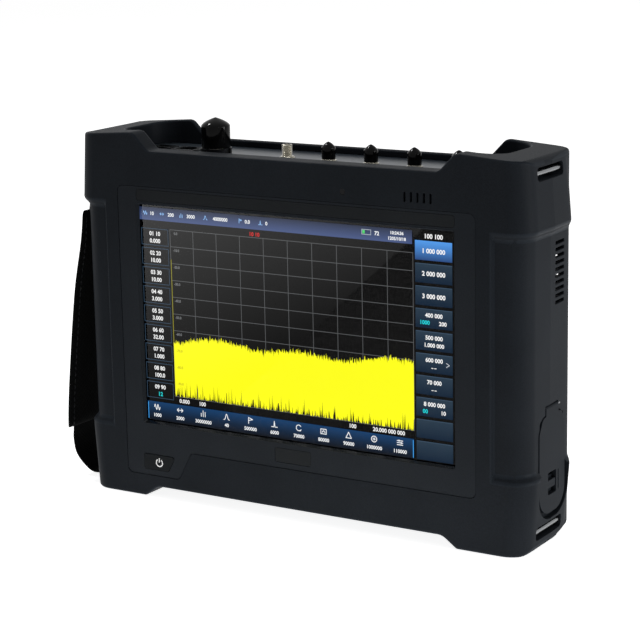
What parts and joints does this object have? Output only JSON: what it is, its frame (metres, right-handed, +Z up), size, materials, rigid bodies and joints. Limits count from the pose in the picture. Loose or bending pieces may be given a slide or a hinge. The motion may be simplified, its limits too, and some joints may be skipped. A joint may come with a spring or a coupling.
{
  "type": "handheld spectrum analyser",
  "caption": "Handheld spectrum analyser with a touch display in a rugged two-part case, top connectors with dust caps, side battery door, hand strap and rear stand.",
  "frame": {"origin": "centre of the overall box at the level of the feet's soles", "axes": "+X to the user's right facing the screen, -Y out of the screen, +Z up"},
  "size_m": [0.3389, 0.068, 0.2383],
  "materials": {
    "case_black": "fine mould texture",
    "panel_grey": "fine mould texture",
    "inlay_dark": "satin print",
    "glass": "polished",
    "screen": "lit display",
    "key_rubber": "matte",
    "dark_plastic": "moulded",
    "sensor": "polished",
    "sheet_metal": "bead blasted",
    "plate_satin": "satin grey-blue",
    "steel": "plated",
    "black_steel": "black oxide",
    "chrome": "polished",
    "gold": "gold plated",
    "nickel": "nickel plated",
    "vinyl": "glossy vinyl",
    "board": "solder mask",
    "battery": "moulded",
    "webbing": "woven",
    "pad": "woven, padded"
  },
  "bodies": {
    "case": {"front_shell": "case_black", "rear_shell": "case_black", "display_panel": "panel_grey", "trim_strip": "inlay_dark", "badge_plate": "inlay_dark", "touch_glass": "glass", "lcd_module": "screen", "power_switch": "dark_plastic", "light_sensor": "sensor", "speaker": "dark_plastic", "chassis_plate": "sheet_metal", "chassis_screws": "steel", "main_board": "board", "rf_module": "sheet_metal", "heat_sink": "sheet_metal", "blower_housing": "dark_plastic", "connector_plate": "plate_satin", "n_connector": "nickel", "n_nut": "black_steel", "sma_nuts": "nickel", "usb_socket": "steel", "lan_socket": "steel", "door_pin": "steel", "battery_pack": "battery", "battery_tray": "dark_plastic", "battery_contacts": "gold", "strap_bars": "chrome", "strap_webbing": "webbing", "strap_pad": "pad", "stand_pins": "steel", "case_screws": "steel", "sma_connector_1": "nickel", "sma_connector_2": "nickel", "sma_connector_3": "nickel", "sma_connector_4": "nickel", "sma_connector_5": "nickel"},
    "power_button": {"power_button": "key_rubber"},
    "battery_door": {"battery_door": "case_black"},
    "door_latch": {"door_latch": "case_black"},
    "blower_impeller": {"blower_impeller": "dark_plastic"},
    "n_cap": {"n_cap": "vinyl"},
    "sma_cap_1": {"sma_cap_1": "vinyl"},
    "sma_cap_2": {"sma_cap_2": "vinyl"},
    "sma_cap_3": {"sma_cap_3": "vinyl"},
    "sma_cap_4": {"sma_cap_4": "vinyl"},
    "tilt_stand": {"tilt_stand": "case_black"}
  },
  "joints": [
    {"name": "power_key_press", "type": "slide", "parent": "case", "child": "power_button", "axis": [0, 1, 0], "range_m": [0, 0.0007], "stiffness_N_per_m": 1500, "springref_m": -0.0004},
    {"name": "battery_door_hinge", "type": "hinge", "parent": "case", "child": "battery_door", "pos_m": [0.1653, 0.0032, 0.0822], "axis": [0, -1, 0], "range_deg": [0, 95]},
    {"name": "door_latch_slide", "type": "slide", "parent": "battery_door", "child": "door_latch", "axis": [0, 0, -1], "range_m": [0, 0.0034]},
    {"name": "blower_spin", "type": "hinge", "parent": "case", "child": "blower_impeller", "pos_m": [0.1342, 0.0127, 0.1595], "axis": [0, 1, 0], "continuous": true},
    {"name": "n_cap_pull", "type": "slide", "parent": "case", "child": "n_cap", "axis": [0, 0, 1], "range_m": [0, 0.02]},
    {"name": "sma_cap_1_pull", "type": "slide", "parent": "case", "child": "sma_cap_1", "axis": [0, 0, 1], "range_m": [0, 0.012]},
    {"name": "sma_cap_2_pull", "type": "slide", "parent": "case", "child": "sma_cap_2", "axis": [0, 0, 1], "range_m": [0, 0.012]},
    {"name": "sma_cap_3_pull", "type": "slide", "parent": "case", "child": "sma_cap_3", "axis": [0, 0, 1], "range_m": [0, 0.012]},
    {"name": "sma_cap_4_pull", "type": "slide", "parent": "case", "child": "sma_cap_4", "axis": [0, 0, 1], "range_m": [0, 0.012]},
    {"name": "stand_hinge", "type": "hinge", "parent": "case", "child": "tilt_stand", "pos_m": [0.0121, 0.03115, 0.11], "axis": [1, 0, 0], "range_deg": [0, 55]}
  ]
}
